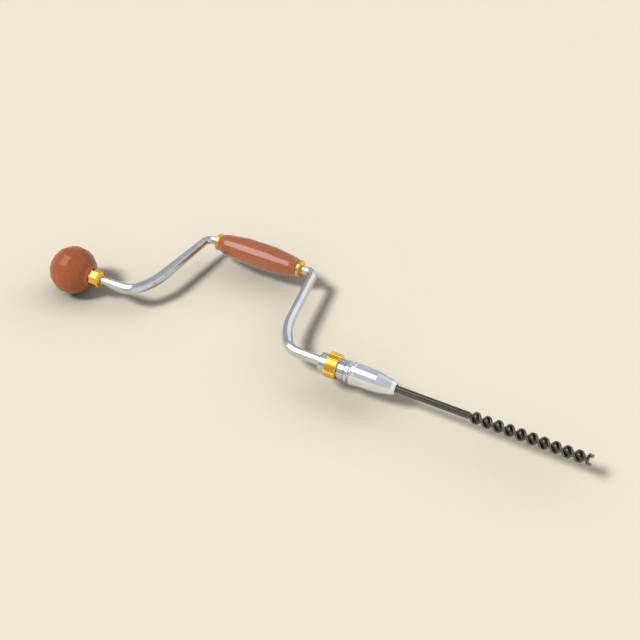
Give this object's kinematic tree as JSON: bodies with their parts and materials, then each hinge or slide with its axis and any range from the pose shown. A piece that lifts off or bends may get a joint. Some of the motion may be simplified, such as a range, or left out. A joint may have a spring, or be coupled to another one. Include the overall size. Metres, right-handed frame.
{
  "type": "bit brace",
  "caption": "Hand drill brace with a cranked steel rod, turning wooden head and sweep handle, brass cam-ring ratchet, jawed chuck under a screwed shell, and a twisted auger bit.",
  "frame": {"origin": "centre of the chuck's mouth, on the tool axis, where a bit goes in", "axes": "+X along the tool axis towards the bit's tip, +Y from the tool axis towards the sweep handle, +Z square to the plane of the crank"},
  "size_m": [0.6755, 0.1737, 0.06],
  "materials": {
    "head_wood": "varnished red-brown hardwood",
    "handle_wood": "varnished red-brown hardwood",
    "brass": "polished",
    "bright_steel": "polished, nickel plated",
    "shell_steel": "pale satin",
    "bit_steel": "dark grey, ground",
    "inner_steel": "machined",
    "hard_steel": "hardened, dark",
    "spring_steel": "spring tempered",
    "fibre": "vulcanised fibre"
  },
  "bodies": {
    "crank": {"crank_frame": "bright_steel", "thrust_collar": "inner_steel", "spindle_washer": "brass", "spindle_nut": "inner_steel", "ratchet_housing": "bright_steel", "ratchet_cap": "bright_steel", "cap_screws": "inner_steel", "pawl_pins": "inner_steel", "pawl_spring_forward": "spring_steel", "pawl_spring_reverse": "spring_steel"},
    "head": {"head_ball": "head_wood", "head_collar": "brass", "head_race": "hard_steel", "head_bearing_balls": "bright_steel"},
    "handle": {"sweep_handle": "handle_wood", "ferrule_rear": "brass", "ferrule_front": "brass"},
    "selector": {"selector_ring": "brass"},
    "forward_pawl": {"pawl_forward": "hard_steel"},
    "reverse_pawl": {"pawl_reverse": "hard_steel"},
    "chuck": {"chuck_body": "shell_steel", "ratchet_wheel": "hard_steel", "wheel_key": "inner_steel", "thrust_washer": "fibre", "jaw_spring": "spring_steel"},
    "cone": {"jaw_cone": "hard_steel", "cone_bearing_balls": "bright_steel"},
    "shell": {"chuck_shell": "shell_steel"},
    "upper_jaw": {"jaw_upper": "hard_steel"},
    "lower_jaw": {"jaw_lower": "hard_steel"},
    "bit": {"auger_bit": "bit_steel"}
  },
  "joints": [
    {"name": "head_spin", "type": "hinge", "parent": "crank", "child": "head", "pos_m": [-0.432, 0, 0], "axis": [1, 0, 0], "continuous": true},
    {"name": "handle_spin", "type": "hinge", "parent": "crank", "child": "handle", "pos_m": [-0.241, 0.127, 0], "axis": [1, 0, 0], "continuous": true},
    {"name": "selector_turn", "type": "hinge", "parent": "crank", "child": "selector", "pos_m": [-0.0753, 0, 0], "axis": [1, 0, 0], "range_deg": [-25, 25]},
    {"name": "forward_pawl_pivot", "type": "hinge", "parent": "crank", "child": "forward_pawl", "pos_m": [-0.07185, 0, -0.00905], "axis": [1, 0, 0], "range_deg": [-7.62, 7.62], "deforming": ["pawl_spring_forward"]},
    {"name": "reverse_pawl_pivot", "type": "hinge", "parent": "crank", "child": "reverse_pawl", "pos_m": [-0.07185, 0, 0.00905], "axis": [1, 0, 0], "range_deg": [-7.62, 7.62], "deforming": ["pawl_spring_reverse"]},
    {"name": "chuck_spin", "type": "hinge", "parent": "crank", "child": "chuck", "pos_m": [-0.0525, 0, 0], "axis": [1, 0, 0], "continuous": true},
    {"name": "cone_feed", "type": "slide", "parent": "chuck", "child": "cone", "axis": [1, 0, 0], "range_m": [0, 0.006]},
    {"name": "shell_turn", "type": "hinge", "parent": "cone", "child": "shell", "pos_m": [-0.026, 0, 0], "axis": [1, 0, 0], "range_deg": [0, 1080.1]},
    {"name": "upper_jaw_slide", "type": "slide", "parent": "chuck", "child": "upper_jaw", "axis": [0, 0, 1], "range_m": [0, 0.00086], "deforming": ["jaw_spring"]},
    {"name": "lower_jaw_slide", "type": "slide", "parent": "chuck", "child": "lower_jaw", "axis": [0, 0, -1], "range_m": [0, 0.00086]},
    {"name": "bit_slide", "type": "slide", "parent": "chuck", "child": "bit", "axis": [1, 0, 0], "range_m": [0, 0.06]}
  ],
  "couplings": [
    {"joint": "forward_pawl_pivot", "follows": "selector_turn", "ratio": 0.30439},
    {"joint": "reverse_pawl_pivot", "follows": "selector_turn", "ratio": 0.30439},
    {"joint": "shell_turn", "follows": "cone_feed", "rad_per_m": 3141.6},
    {"joint": "upper_jaw_slide", "follows": "cone_feed", "ratio": 0.142},
    {"joint": "lower_jaw_slide", "follows": "cone_feed", "ratio": 0.142}
  ]
}
